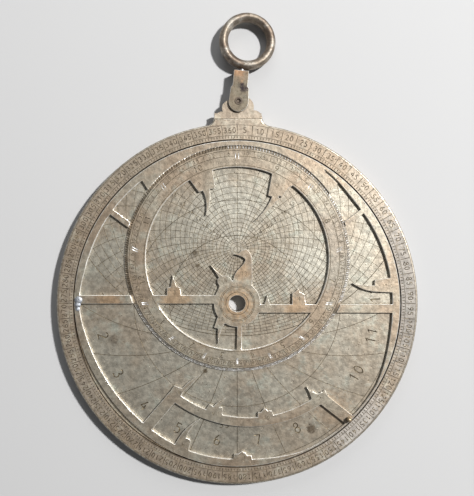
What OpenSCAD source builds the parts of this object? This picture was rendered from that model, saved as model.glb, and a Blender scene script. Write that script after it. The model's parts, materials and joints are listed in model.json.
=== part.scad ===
// Brass planispheric astrolabe, lying on its back.
// The mater (back disc, limb and throne) holds a stack of climate plates and the pierced rete.
// Origin: centre of the pin bore on the back face.  +Z leaves the front face, +Y points to the throne.
// All sizes are millimetres.  The rete is drawn for a 175 mm disc and scaled to the disc asked for.

/* [Disc] */
// Outside diameter of the limb
disc_d = 175; // [160:1:200]
// Thickness from the back face to the front of the limb
disc_t = 7.2; // [6.8:0.1:9]
// Thickness of the back disc
back_t = 2; // [1.6:0.1:2.4]
// Width of the graduated limb
limb_w = 7.9; // [7.6:0.1:9]
// Diameter of the pin bore
bore_d = 8; // [6:0.5:9]

/* [Rete] */
// Thickness of the pierced plate
rete_t = 1.8; // [1.4:0.1:2]
// Width of the outer ring of the rete
rim_w = 3.7; // [3.2:0.1:4.2]
// Width of the ecliptic ring
ecliptic_w = 10.5; // [8:0.1:11]
// Angle between the ecliptic and the equator, in degrees
obliquity = 23.5; // [23:0.1:24]

/* [Suspension] */
// Lean of the shackle away from upright, in degrees
shackle_lean = 5.5; // [-15:0.5:15]
// Extra lean of the askew ring pin, in degrees
pin_lean = 5; // [0:0.5:6]
// Tilt of the ring about its pin, in degrees
ring_tilt = 5; // [0:0.5:6]
// Outside radius of the hanging ring
ring_r = 13.9; // [12:0.1:15]

/* [Hidden] */
$fn = 96;
eps = 0.01;

// scale of the rete drawing, and the disc's own radii
k = disc_d / 175;
disc_r = disc_d / 2;
recess_r = disc_r - limb_w;
bore_r = bore_d / 2;

// climate plates: four fill the recess up to the underside of the rete
plate_count = 4;
slide_gap = 0.04;
rete_sink = 0.16;
rete_z = disc_t - rete_sink - rete_t;
plate_pitch = (rete_z - slide_gap - back_t) / plate_count;
plate_t = plate_pitch - slide_gap;
plate_r = recess_r - 0.4;

// peg that stops the plates turning
key_r = 1.2;
key_y = -(recess_r - 2.4 * k);
key_gap = 0.15;

// rivets set into the limb from behind
rivet_r = 1.2;
rivet_depth = 5;
rivet_count = 8;
rivet_ring_r = disc_r - limb_w / 2;

// rete outline, in millimetres on a 175 mm disc
rim_r = 79;
rim_step = 3;
hub_r = 11.3;
bar_w = 4;
dent_depth = 2.2;
mend_rise = 1.2;
slit_rise = 2.3;
thin_rise = 4.4;
thin_limit = rim_w - 0.8;
knob_at = [54, -55.8];

// stereographic projection: radii of the tropics, and the ecliptic that touches both
capricorn_r = 76.7;
cancer_r = capricorn_r * pow(tan((90 - obliquity) / 2), 2);
ecliptic_y = (capricorn_r - cancer_r) / 2;
ecliptic_r = (capricorn_r + cancer_r) / 2;
bevel_w = 1.8;
bevel_t = 1.15;

// lower frame arc of the rete
arc_at = [5.6, 1];
arc_r = 60.7;
arc_w = 4.4;

// throne, and the rivet the shackle swings on
throne_t = 3.5;
throne_z = disc_t - 0.85 - throne_t;
throne_mid = throne_z + throne_t / 2;
rivet_at = [0.7, 10.5];
pivot_r = 1.1;
pivot_gap = 0.05;

// shackle: a strap bent into a U over the throne
leaf_t = 1.4;
leaf_gap = 0.1;
leaf_half = 4.75;
neck_half = 3.6;
shoulder_y = 6.4;
bridge_y = 12.8;
bridge_t = 2;
strap_half_z = throne_t / 2 + leaf_gap + leaf_t;

// ring pin and hanging ring
pin_r = 1;
pin_gap = 0.06;
pin_head_r = 1.75;
pin_head_t = 1.2;
ring_clear = 1.2;
ring_half_z = 3.3;
ring_crest = ring_r - 1.8;
ring_bore_r = ring_r - 4.5;
lens_half_z = ring_half_z + 0.3;

brass = [0.66, 0.60, 0.47];
plate_brass = [0.69, 0.65, 0.54];
warm_brass = [0.64, 0.56, 0.42];
solder_grey = [0.72, 0.73, 0.75];

// points along a smooth curve from p to r that is pulled towards q
function curve(p, q, r, n = 6) = [
    for (i = [0:n])
        let (t = i / n)
            (1 - t) * (1 - t) * p + 2 * t * (1 - t) * q + t * t * r
];

// a smooth bump of height 1 at angle mid that fades out at half degrees to each side
function bump(a, mid, half) = abs(a - mid) < half ? (1 + cos(180 * (a - mid) / half)) / 2 : 0;

// the rete's ring is dented at the lower left, mended at the left and worn thin at the lower right
function rim_outer(a) = rim_r - dent_depth * bump(a, 219, 44);
function rim_inner(a) = rim_r - rim_w
    - dent_depth * bump(a, 219, 44)
    + mend_rise * bump(a, 180, 18)
    + slit_rise * bump(a, 57, 17)
    + min(thin_limit, thin_rise * bump(a, 312, 46));

function polar(r, a) = [r * cos(a), r * sin(a)];

// ---------- mater ----------

module bore(z, t) {
    translate([0, 0, z - 1])
        cylinder(r = bore_r, h = t + 2);
}

module limb_rivet_pegs(r) {
    for (i = [0:rivet_count - 1])
        rotate([0, 0, (i + 0.5) * 360 / rivet_count])
            translate([rivet_ring_r, 0, 0])
                cylinder(r = r, h = rivet_depth);
}

module mater_plate() {
    color(brass)
        difference() {
            cylinder(r = disc_r, h = back_t);
            bore(0, back_t);
            translate([0, 0, -eps])
                limb_rivet_pegs(rivet_r + eps);
            translate([0, key_y, -1])
                cylinder(r = key_r + eps, h = back_t + 2);
        }
}

module limb_rivets() {
    color(warm_brass)
        limb_rivet_pegs(rivet_r);
}

module plate_key() {
    color(warm_brass)
        translate([0, key_y, 0])
            cylinder(r = key_r, h = rete_z - 0.3);
}

// raised front of the throne, level with the limb; y counts from the limb's edge
module throne_step_shape() {
    polygon(concat(
        [[12.2, 2.3], [-11.3, 2.3]],
        curve([-11.3, 2.3], [-11.5, -0.4], [-14.5, -1.4]),
        [[-14.5, -6], [16, -6]],
        curve([16, -1.6], [12.4, -0.6], [12.2, 2.3])
    ));
}

// two round lobes and two pointed horns around the shackle's end
module throne_shape() {
    translate([-7.2, 1.5])
        circle(r = 4.1);
    translate([8, 2.1])
        circle(r = 4.2);
    translate([-11, -2])
        square([22.8, 6.8]);
    intersection() {
        translate([-2.3, 7.5])
            circle(r = 5);
        translate([-1, 4.5])
            circle(r = 7.5);
    }
    intersection() {
        translate([3, 7.8])
            circle(r = 5.1);
        translate([1.2, 6])
            circle(r = 7.8);
    }
    translate(rivet_at)
        circle(r = leaf_half - 0.6);
}

module limb() {
    color(brass)
        difference() {
            union() {
                translate([0, 0, back_t])
                    cylinder(r = disc_r, h = disc_t - back_t);
                translate([0, disc_r, back_t])
                    linear_extrude(height = disc_t - back_t)
                        throne_step_shape();
                translate([0, disc_r, throne_z])
                    linear_extrude(height = throne_t)
                        throne_shape();
            }
            translate([0, 0, back_t - 1])
                cylinder(r = recess_r, h = disc_t);
            translate([0, 0, back_t - eps])
                limb_rivet_pegs(rivet_r + eps);
            translate([rivet_at[0], disc_r + rivet_at[1], 0])
                cylinder(r = pivot_r + eps, h = disc_t);
        }
}

// ---------- climate plates ----------

module climate_plate(level) {
    z = back_t + level * plate_pitch + slide_gap;
    color(plate_brass)
        difference() {
            translate([0, 0, z])
                cylinder(r = plate_r, h = plate_t);
            bore(z, plate_t);
            translate([0, key_y, z - 1])
                cylinder(r = key_r + key_gap, h = plate_t + 2);
            translate([-key_r - key_gap, key_y - 10, z - 1])
                cube([2 * (key_r + key_gap), 10, plate_t + 2]);
        }
}

module climate_plate_four() {
    climate_plate(0);
}

module climate_plate_three() {
    climate_plate(1);
}

module climate_plate_two() {
    climate_plate(2);
}

module climate_plate_one() {
    climate_plate(3);
}

// ---------- rete ----------

// straight strip from p to q
module strip(p, q, w) {
    d = q - p;
    translate(p)
        rotate([0, 0, atan2(d[1], d[0])])
            translate([0, -w / 2])
                square([norm(d), w]);
}

module rim_outline() {
    polygon([for (a = [0:rim_step:359]) polar(rim_outer(a), a)]);
}

module rim_shape() {
    difference() {
        rim_outline();
        polygon([for (a = [0:rim_step:359]) polar(rim_inner(a), a)]);
    }
}

module ecliptic_shape() {
    translate([0, ecliptic_y])
        difference() {
            circle(r = ecliptic_r);
            circle(r = ecliptic_r - ecliptic_w);
        }
}

// web between the ecliptic and the ring at the top, slit from the ring at its right end
module top_web_shape() {
    difference() {
        polygon(concat(
            [polar(64, 50)],
            [for (a = [50:56]) polar(rim_inner(a) - 1.1, a)],
            [for (a = [57.5:2:128.5]) polar(rim_r - 1, a)],
            [polar(64, 128.6)]
        ));
        translate([0, ecliptic_y])
            circle(r = ecliptic_r - 1);
    }
}

// east and west bars change sides at the hub; a short upright joins hub and ecliptic
module bars_shape() {
    translate([-rim_r + 2, 0])
        square([rim_r - 10, bar_w]);
    translate([8, -bar_w - 0.4])
        square([rim_r - 10, bar_w]);
    translate([0, ecliptic_y - ecliptic_r + 5])
        square([2.2, 20]);
}

module struts_shape() {
    strip(polar(63, 143.9), polar(77, 143.9), 2.6);
    strip(polar(64, 36.4), polar(77, 36.4), 2.2);
}

module lower_frame_shape() {
    intersection() {
        translate(arc_at)
            difference() {
                circle(r = arc_r);
                circle(r = arc_r - arc_w);
            }
        polygon([[-30.5, -39.8], [-44, -75], [62, -75], [37, -43], [0, 0]]);
    }
    strip([-28.6, -42.2], [-46.5, -63], 5.3);
    polygon([[-34, -45], [-28, -44.6], [-26.7, -41.2], [-30.5, -39.8]]);
    strip([39.2, -44.6], knob_at + [1.5, -1.4], 5);
    translate(knob_at)
        circle(r = 2.2);
}

module hub_shape() {
    circle(r = hub_r);
    polygon(concat(
        [[7, 7], [7.3, 12]],
        curve([7.2, 19.8], [7.4, 24.4], [4.7, 26.1]),
        curve([4.7, 26.1], [2.4, 26.6], [0.8, 24.4]),
        curve([-1.5, 23.9], [3.2, 22.8], [3.9, 21.4]),
        curve([3.9, 21.4], [4, 20], [1.2, 17.2]),
        curve([1.2, 17.2], [-2, 14.4], [-2, 10])
    ));
    polygon(concat(
        [[0, 6]],
        curve([-2.6, 11.5], [-4.6, 14.4], [-7, 13.2]),
        curve([-7, 13.2], [-10, 15.4], [-12.9, 18.6]),
        curve([-12.9, 18.6], [-10.6, 15.4], [-8.8, 12.4]),
        [[-9.6, 11.8], [-9.5, 10], [-8.5, 8.6], [-9.6, 6]]
    ));
    polygon(concat(
        [[-8, -5], [-9.6, -7], [-11.2, -11.6], [-9.3, -12.1]],
        curve([-9.3, -12.1], [-9.6, -16], [-9.2, -19.4]),
        curve([-9.2, -19.4], [-8.6, -12.6], [-5.6, -9]),
        [[-2, -6]]
    ));
}

module bar_pointer_shapes() {
    polygon([[-26.9, 3], [-27.8, 7.8], [-29.6, 8.2], [-31.2, 13.6], [-32.3, 8.1], [-34, 7.6], [-34, 3]]);
    polygon(concat(
        curve([16.2, -1], [15, 1.6], [14.5, 4]),
        curve([14.5, 4], [14.2, 2.2], [13.4, 0.2]),
        [[13.2, -1]]
    ));
    polygon([[33.2, -1], [32.6, 4.6], [30.2, 5.4], [29.6, 7.3], [28.4, 6], [26.7, 5], [26.7, -1]]);
}

module ecliptic_pointer_shapes() {
    polygon(concat(
        [[-23.8, 62], [-23.2, 60.2], [-18.6, 53.9], [-16.6, 54.6]],
        curve([-16.6, 54.6], [-14, 49.6], [-15.2, 42.7]),
        curve([-15.2, 42.7], [-12.4, 48.4], [-13.3, 55.4]),
        [[-11.2, 55.7], [-10.7, 56.5], [-12, 64.6], [-12, 67]]
    ));
    difference() {
        polygon(concat(
            [[17.3, 66], [17, 63.4], [15, 52.3], [16.9, 51.8]],
            curve([16.9, 51.8], [14.4, 45.4], [8.2, 39.7]),
            curve([8.2, 39.7], [14.6, 43.8], [18.8, 49.2]),
            curve([18.8, 49.2], [21.4, 50.4], [24.8, 55.9]),
            [[27.6, 57.5], [27.6, 61]]
        ));
        translate([20.6, 51.6])
            circle(r = 0.6);
    }
}

module ring_pointer_shapes() {
    polygon(concat(
        [[77, 12.8], [66.7, 11.4], [66.6, 8.7]],
        curve([66.6, 8.7], [60, 8.9], [56, 9.8]),
        curve([56, 9.8], [60.5, 6.2], [67, 5.7]),
        [[77, 5.3]]
    ));
    polygon(concat(
        [[-23, -73], [-23.4, -70.4], [-22.5, -66.8], [-23.1, -65.6]],
        curve([-24.8, -65.1], [-23.6, -60.6], [-17.5, -55.5]),
        curve([-17.5, -55.5], [-25.6, -59.6], [-29.7, -67.4]),
        [[-31, -70]]
    ));
    polygon([
        [7.4, -76.5], [7, -73.6], [4.8, -73.5], [4, -72.4],
        [2.2, -71.6], [0.6, -72.8], [-1.5, -73], [-1.7, -76.5]
    ]);
}

module frame_pointer_shapes() {
    polygon(concat(
        [[-30, -43]],
        curve([-28, -44.6], [-22.2, -39], [-17.5, -34.4]),
        curve([-17.5, -34.4], [-22.4, -36.4], [-26.7, -41.2]),
        [[-27, -41]]
    ));
    polygon([
        [-6.4, -57], [-7.3, -53], [-7, -50.4], [-8.9, -50.5], [-8.1, -49], [-5.7, -45.6],
        [-9.6, -48], [-11.6, -50], [-13.3, -48.7], [-14.6, -50.4], [-15, -51.2], [-15.9, -55]
    ]);
    polygon([
        [18.4, -58], [17.4, -53.6], [16.8, -52.1], [15.8, -51.8], [14.8, -52.1],
        [14.3, -51.3], [13, -50.9], [11.6, -52.7], [10, -52.9], [10, -58]
    ]);
    polygon(concat(
        [[44, -45]],
        curve([42.3, -41.8], [39.2, -45.4], [36.6, -42.4]),
        [[35.8, -42.9], [33.6, -40.5], [35, -43.2], [35.9, -45.8], [37, -50]]
    ));
}

module rete_shape() {
    rim_shape();
    ecliptic_shape();
    top_web_shape();
    bars_shape();
    struts_shape();
    intersection() {
        lower_frame_shape();
        rim_outline();
    }
    hub_shape();
    bar_pointer_shapes();
    ecliptic_pointer_shapes();
    ring_pointer_shapes();
    frame_pointer_shapes();
}

// groove that bevels the outer edge of the ecliptic and runs on across the web and the bars
module ecliptic_bevel() {
    translate([0, k * ecliptic_y, rete_z + rete_t])
        rotate_extrude()
            polygon([
                [k * (ecliptic_r - bevel_w), 0.2 * bevel_t / bevel_w],
                [k * (ecliptic_r - bevel_w), 0],
                [k * ecliptic_r, -bevel_t],
                [k * ecliptic_r, 0.2 * bevel_t / bevel_w]
            ]);
}

module rete() {
    color(plate_brass)
        difference() {
            translate([0, 0, rete_z])
                linear_extrude(height = rete_t)
                    scale([k, k])
                        rete_shape();
            ecliptic_bevel();
            bore(rete_z, rete_t);
            translate([k * knob_at[0], k * knob_at[1], rete_z - 1])
                cylinder(r = 0.71, h = rete_t + 2);
        }
}

// stud for turning the rete
module rete_knob() {
    top = rete_z + rete_t;
    color(warm_brass)
        translate([k * knob_at[0], k * knob_at[1], 0]) {
            translate([0, 0, rete_z + 0.1])
                cylinder(r = 0.7, h = rete_t + 1.6);
            translate([0, 0, top + eps])
                cylinder(r = 1.3, h = 0.5);
            translate([0, 0, top + 1.9])
                sphere(r = 1.25);
        }
}

// low dome of solder with foot radius r and height h
module solder_dome(at, r, h) {
    big = (r * r + h * h) / (2 * h);
    intersection() {
        translate([at[0], at[1], h - big])
            sphere(r = big);
        translate([at[0] - r, at[1] - r, 0])
            cube([2 * r, 2 * r, h + 1]);
    }
}

// mend where the west bar meets the ring
module rete_solder() {
    color(solder_grey)
        translate([0, 0, rete_z + rete_t + eps]) {
            solder_dome([-k * 76.9, k * 1.6], 1.9, 0.5);
            solder_dome([-k * 77.3, -k * 0.6], 1.5, 0.45);
            solder_dome([-k * 77.3, -k * 2.6], 1.2, 0.35);
        }
}

// ---------- suspension ----------

// frame of the shackle: origin on its rivet, mid-thickness of the throne
module in_shackle() {
    translate([rivet_at[0], disc_r + rivet_at[1], throne_mid])
        rotate([0, 0, -shackle_lean])
            children();
}

// frame of the pin: origin in the middle of the shackle's bridge, +Y along the pin
module in_pin() {
    in_shackle()
        translate([0, bridge_y + bridge_t / 2, 0])
            rotate([0, 0, -pin_lean])
                rotate([0, ring_tilt, 0])
                    children();
}

// cylinder along +Y
module rod(r, y0, y1) {
    translate([0, y0, 0])
        rotate([-90, 0, 0])
            cylinder(r = r, h = y1 - y0);
}

module leaf_shape() {
    translate([0, -0.4])
        circle(r = leaf_half);
    polygon([
        [leaf_half, -0.4], [leaf_half - 0.4, shoulder_y], [neck_half, shoulder_y + 0.9],
        [neck_half, bridge_y + bridge_t], [-neck_half, bridge_y + bridge_t],
        [-neck_half, shoulder_y + 0.9], [-leaf_half + 0.4, shoulder_y], [-leaf_half, -0.4]
    ]);
}

module shackle() {
    slot_z = throne_t / 2 + leaf_gap;
    color(warm_brass)
        difference() {
            in_shackle()
                difference() {
                    translate([0, 0, -strap_half_z])
                        linear_extrude(height = 2 * strap_half_z)
                            leaf_shape();
                    translate([-leaf_half - 1, -leaf_half - 2, -slot_z])
                        cube([2 * leaf_half + 2, leaf_half + 2 + bridge_y, 2 * slot_z]);
                    translate([0, 0, -strap_half_z - 1])
                        cylinder(r = pivot_r + pivot_gap, h = 2 * strap_half_z + 2);
                }
            in_pin()
                rod(pin_r + pin_gap, -bridge_t, bridge_t);
        }
}

// rivet with a punched head at each end
module shackle_rivet() {
    head_t = 0.35;
    head_z = strap_half_z + 0.03;
    color(brass)
        in_shackle()
            difference() {
                union() {
                    translate([0, 0, -head_z])
                        cylinder(r = pivot_r, h = 2 * head_z);
                    translate([0, 0, head_z])
                        cylinder(r = 1.8, h = head_t);
                    translate([0, 0, -head_z - head_t])
                        cylinder(r = 1.8, h = head_t);
                }
                translate([0, 0, head_z + head_t + 0.55])
                    sphere(r = 1.2);
                translate([0, 0, -head_z - head_t - 0.55])
                    sphere(r = 1.2);
            }
}

module ring_pin() {
    head_y = -bridge_t / 2 - 0.25;
    color(solder_grey)
        in_pin() {
            rod(pin_head_r, head_y - pin_head_t, head_y);
            rod(pin_r, head_y - eps, bridge_t / 2 + ring_clear + 3.2);
        }
}

// lens-shaped section: rounded outside and inside, with a narrow flat band in the bore
module ring_section() {
    out_w = ring_r - ring_crest;
    in_w = ring_crest - ring_bore_r + 0.2;
    out_arc = (pow(lens_half_z, 2) + pow(out_w, 2)) / (2 * out_w);
    in_arc = (pow(lens_half_z, 2) + pow(in_w, 2)) / (2 * in_w);
    difference() {
        intersection() {
            translate([ring_r - out_arc, 0])
                circle(r = out_arc);
            translate([ring_crest - in_w + in_arc, 0])
                circle(r = in_arc);
            translate([0, -ring_half_z])
                square([ring_r + 1, 2 * ring_half_z]);
        }
        translate([0, -ring_half_z - 1])
            square([ring_bore_r, 2 * ring_half_z + 2]);
    }
}

module hanging_ring() {
    color(warm_brass)
        in_pin()
            difference() {
                translate([0, bridge_t / 2 + ring_clear + ring_r, 0])
                    rotate_extrude()
                        ring_section();
                rod(pin_r + eps, -bridge_t, bridge_t / 2 + ring_clear + 3.2 + eps);
            }
}

mater_plate();
limb();
limb_rivets();
plate_key();
climate_plate_four();
climate_plate_three();
climate_plate_two();
climate_plate_one();
rete();
rete_knob();
rete_solder();
shackle();
shackle_rivet();
ring_pin();
hanging_ring();
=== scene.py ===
import json
import math
from collections import defaultdict
from random import Random

import bmesh
import bpy
import numpy as np
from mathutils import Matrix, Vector, noise
from mathutils.kdtree import KDTree

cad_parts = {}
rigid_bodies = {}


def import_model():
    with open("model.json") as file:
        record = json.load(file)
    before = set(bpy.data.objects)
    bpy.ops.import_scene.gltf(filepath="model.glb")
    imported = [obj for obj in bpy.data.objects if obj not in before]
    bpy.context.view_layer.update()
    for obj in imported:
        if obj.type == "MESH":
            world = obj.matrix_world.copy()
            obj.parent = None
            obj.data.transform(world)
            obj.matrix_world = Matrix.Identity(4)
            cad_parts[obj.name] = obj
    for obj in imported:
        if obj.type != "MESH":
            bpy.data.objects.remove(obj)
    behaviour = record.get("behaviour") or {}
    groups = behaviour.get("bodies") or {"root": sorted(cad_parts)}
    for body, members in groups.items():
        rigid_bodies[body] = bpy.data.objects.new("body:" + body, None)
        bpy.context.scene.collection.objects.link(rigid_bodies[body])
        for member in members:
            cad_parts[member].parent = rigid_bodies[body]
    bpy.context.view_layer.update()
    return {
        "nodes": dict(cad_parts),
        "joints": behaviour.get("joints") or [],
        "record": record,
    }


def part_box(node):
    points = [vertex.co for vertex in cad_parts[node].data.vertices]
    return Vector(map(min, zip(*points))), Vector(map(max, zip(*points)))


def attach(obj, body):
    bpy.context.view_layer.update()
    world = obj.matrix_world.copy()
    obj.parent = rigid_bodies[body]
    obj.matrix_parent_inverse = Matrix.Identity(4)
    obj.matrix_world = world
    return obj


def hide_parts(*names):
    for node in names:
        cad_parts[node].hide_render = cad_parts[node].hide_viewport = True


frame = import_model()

record = frame["record"]
nodes = frame["nodes"]

# ---------- sizes, in metres, worked out from the frame ----------

MM = 0.001
FRONT, BACK = 1, -1
SKIN, DARK, PALE, EDGE = range(4)

disc_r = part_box("mater_plate")[1].x
limb_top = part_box("limb")[1].z
plate_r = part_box("climate_plate_one")[1].x
plate_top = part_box("climate_plate_one")[1].z
rete_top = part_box("rete")[1].z
recess_r = plate_r + 0.4 * MM
rim_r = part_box("rete")[1].x
rim_in_r = rim_r - 3.7 * MM
bore_r = next(m for m in record["mounts"] if m["name"] == "pin_bore")["dims"]["r_mm"] * MM
shackle_pivot = Vector(next(j for j in frame["joints"] if j["name"] == "shackle_swing")["pos_m"])

# stereographic projection: the tropic of Capricorn fills the plate
obliquity = math.radians(23.5)
capricorn_r = 76.7 * MM
equator_r = capricorn_r * math.tan((math.pi / 2 - obliquity) / 2)
cancer_r = equator_r * math.tan((math.pi / 2 - obliquity) / 2)
ecliptic_y = (capricorn_r - cancer_r) / 2
ecliptic_r = (capricorn_r + cancer_r) / 2
ecliptic_in_r = ecliptic_r - 10.5 * MM
bevel_width = 1.8 * MM
bevel_drop = 1.15 * MM
bevel_in_r = ecliptic_r - bevel_width

# the sky's lines are cut between these two distances from the centre of a plate
plate_clear_r = 5 * MM
plate_edge_r = capricorn_r - 0.25 * MM


# ---------- lines to engrave ----------

class Face:
    """A flat face to engrave: points are given as seen by someone looking at it, +Y up."""

    def __init__(self, z, side):
        self.z = z
        self.side = side
        self.passes = defaultdict(list)

    def place(self, x, y, sink=0.0):
        return (self.side * x, y, self.z - self.side * sink)

    def line(self, points, width, step="a", closed=False, depth=None):
        """A V groove along points (x, y) or (x, y, sink). Grooves of one step must not cross."""
        placed = [self.place(*p) for p in points]
        self.passes[step].append((placed, width, depth or 0.55 * width, closed))

    def circle(self, cx, cy, r, width, step="b"):
        count = max(24, int(2 * math.pi * r / (1.5 * MM)))
        self.line(arc(cx, cy, r, 0, 360 - 360 / count, count - 1), width, step, closed=True)

    def radial(self, angle, r0, r1, width):
        """A straight groove along a radius of the disc."""
        self.line([polar(r0, angle), polar(r1, angle)], width)


def polar(r, angle):
    """The point r from the middle of the disc; angle in degrees, anticlockwise from +X."""
    return r * math.cos(math.radians(angle)), r * math.sin(math.radians(angle))


def oval(cx, cy, rx, ry, start, end, count):
    """count + 1 points on an oval from start to end degrees."""
    angles = np.radians(np.linspace(start, end, count + 1))
    return [(cx + rx * math.cos(a), cy + ry * math.sin(a)) for a in angles]


def arc(cx, cy, r, start, end, count):
    return oval(cx, cy, r, r, start, end, count)


def closed_oval(cx, cy, rx, ry, count=14):
    return oval(cx, cy, rx, ry, 0, 360 - 360 / count, count - 1)


# Each digit is one or more strokes (step, closed, points), one unit tall and 0.6 wide.
# The strokes of a digit touch, so they are shared out over two steps.
DIGITS = {
    "0": [("a", True, closed_oval(0.3, 0.5, 0.25, 0.46))],
    "1": [("a", False, [(0.34, 0.98), (0.34, 0.02)]), ("b", False, [(0.12, 0.76), (0.36, 0.96)])],
    "2": [("a", False, oval(0.3, 0.73, 0.22, 0.24, 165, -25, 8) + [(0.08, 0.04)]),
          ("b", False, [(0.04, 0.04), (0.56, 0.04)])],
    "3": [("a", False, oval(0.29, 0.76, 0.2, 0.21, 150, -90, 9)),
          ("b", False, oval(0.28, 0.29, 0.25, 0.26, 90, -150, 9))],
    "4": [("a", False, [(0.42, 0.98), (0.06, 0.34)]), ("b", False, [(0.03, 0.32), (0.6, 0.32)]),
          ("a", False, [(0.44, 0.6), (0.44, 0.02)])],
    "5": [("a", False, [(0.53, 0.96), (0.15, 0.96), (0.12, 0.56)]),
          ("b", False, oval(0.28, 0.32, 0.26, 0.29, 125, -145, 10))],
    "6": [("a", False, [(0.47, 0.97), (0.2, 0.72), (0.07, 0.42)]),
          ("b", True, closed_oval(0.31, 0.27, 0.24, 0.25))],
    "7": [("a", False, [(0.56, 0.96), (0.24, 0.02)]), ("b", False, [(0.04, 0.96), (0.58, 0.96)])],
    "8": [("a", True, closed_oval(0.3, 0.76, 0.19, 0.21)), ("b", True, closed_oval(0.3, 0.28, 0.24, 0.26))],
    "9": [("a", False, [(0.14, 0.03), (0.4, 0.28), (0.53, 0.58)]),
          ("b", True, closed_oval(0.29, 0.72, 0.24, 0.25))],
}
DIGIT_WIDTH, DIGIT_GAP = 0.6, 0.24


def write_number(face, value, at, height, angle=0.0, width=0.2 * MM, steps=("a", "b")):
    """Engraves a number centred on at, its top turned angle degrees anticlockwise from up."""
    text = str(value)
    length = len(text) * DIGIT_WIDTH + (len(text) - 1) * DIGIT_GAP
    c, s = math.cos(math.radians(angle)), math.sin(math.radians(angle))
    for i, digit in enumerate(text):
        left = i * (DIGIT_WIDTH + DIGIT_GAP) - length / 2
        for step, closed, stroke in DIGITS[digit]:
            points = []
            for x, y in stroke:
                u, v = (x + left) * height, (y - 0.5) * height
                points.append((at[0] + u * c - v * s, at[1] + u * s + v * c))
            face.line(points, width, steps[0] if step == "a" else steps[1], closed)


def mitres(p, up, closed):
    """At each point: the step onward, the way across, and how much wider a mitred corner is there."""
    step = np.roll(p, -1, axis=0) - p
    if not closed:
        step[-1] = step[-2]
    step /= np.linalg.norm(step, axis=1)[:, None]
    before = np.roll(step, 1, axis=0)
    if not closed:
        before[0] = step[0]
    side_a, side_b = np.cross(up, before), np.cross(up, step)
    mitre = side_a + side_b
    mitre /= np.maximum(np.linalg.norm(mitre, axis=1), 1e-9)[:, None]
    smallest_cosine = 0.45  # keeps a sharp corner from reaching too far
    return step, mitre, 1 / np.maximum(smallest_cosine, np.sum(mitre * side_b, axis=1))


def groove_mesh(points, width, depth, closed, side):
    """Vertices and faces of a V-shaped cutter along points; side is the way the face looks.

    The cutter stands a little proud of the face, and its bottom line is pulled in at open ends.
    """
    clearance = 0.03 * MM
    pull_in = 0.45 * width
    p = np.array(points, float)
    n = len(p)
    up = np.array([0.0, 0.0, side])
    step, mitre, stretch = mitres(p, up, closed)
    half = width / 2 * (1 + clearance / depth)
    across = mitre * (half * stretch)[:, None]
    apex = p - up * depth
    if not closed:
        apex[0] += step[0] * pull_in
        apex[-1] -= step[-1] * pull_in
    left, right = p + across + up * clearance, p - across + up * clearance
    verts = np.stack([left, right, apex], axis=1).reshape(-1, 3)
    faces = []
    for i in range(n if closed else n - 1):
        a, b = 3 * i, 3 * ((i + 1) % n)
        faces += [(a, a + 1, b + 1, b), (a + 1, a + 2, b + 2, b + 1), (a + 2, a, b, b + 2)]
    if not closed:
        last = 3 * (n - 1)
        faces += [(0, 2, 1), (last, last + 1, last + 2)]
    return verts, faces


def pit_mesh(at, r, depth, side, count=7):
    """Vertices and faces of a small conical pit's cutter."""
    clearance = 0.05 * MM
    wide = r * (1 + clearance / depth)
    turn = at[0] * 9000  # a different turn for each pit
    verts = [(at[0] + wide * math.cos(turn + 2 * math.pi * i / count),
              at[1] + wide * math.sin(turn + 2 * math.pi * i / count),
              at[2] + side * clearance) for i in range(count)]
    verts.append((at[0], at[1], at[2] - side * depth))
    faces = [tuple(range(count))] + [((i + 1) % count, i, count) for i in range(count)]
    if side == BACK:
        faces = [f[::-1] for f in faces]
    return np.array(verts), faces


# ---------- mesh tools ----------

def new_object(name, mesh):
    piece = bpy.data.objects.new(name, mesh)
    bpy.context.scene.collection.objects.link(piece)
    return piece


def middle(edge):
    return (edge.verts[0].co + edge.verts[1].co) / 2


def roomy(edges, reach):
    """The edges with no opposite wall within reach, so that their bevels cannot meet on a thin point."""
    walls = [min((f.normal for f in e.link_faces), key=lambda n: abs(n.z)) for e in edges]
    tree = KDTree(3 * len(edges))
    for i, e in enumerate(edges):
        for share in (0.0, 0.5, 1.0):
            tree.insert(e.verts[0].co.lerp(e.verts[1].co, share), i)
    tree.balance()
    chosen = []
    for e, wall in zip(edges, walls):
        spots = (e.verts[0].co.lerp(e.verts[1].co, share) for share in (0.0, 0.25, 0.5, 0.75, 1.0))
        if all(walls[i].dot(wall) > -0.2 for spot in spots for _, i, _ in tree.find_range(spot, reach)):
            chosen.append(e)
    return chosen


def sharp_edges(bm):
    bm.normal_update()
    return [e for e in bm.edges if e.calc_face_angle() > math.radians(46)]


def bevel_edges(bm, edges, width, segments, clamp):
    bmesh.ops.bevel(bm, geom=edges, offset=width, segments=segments, profile=0.5,
                    affect="EDGES", clamp_overlap=clamp, material=EDGE)


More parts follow.
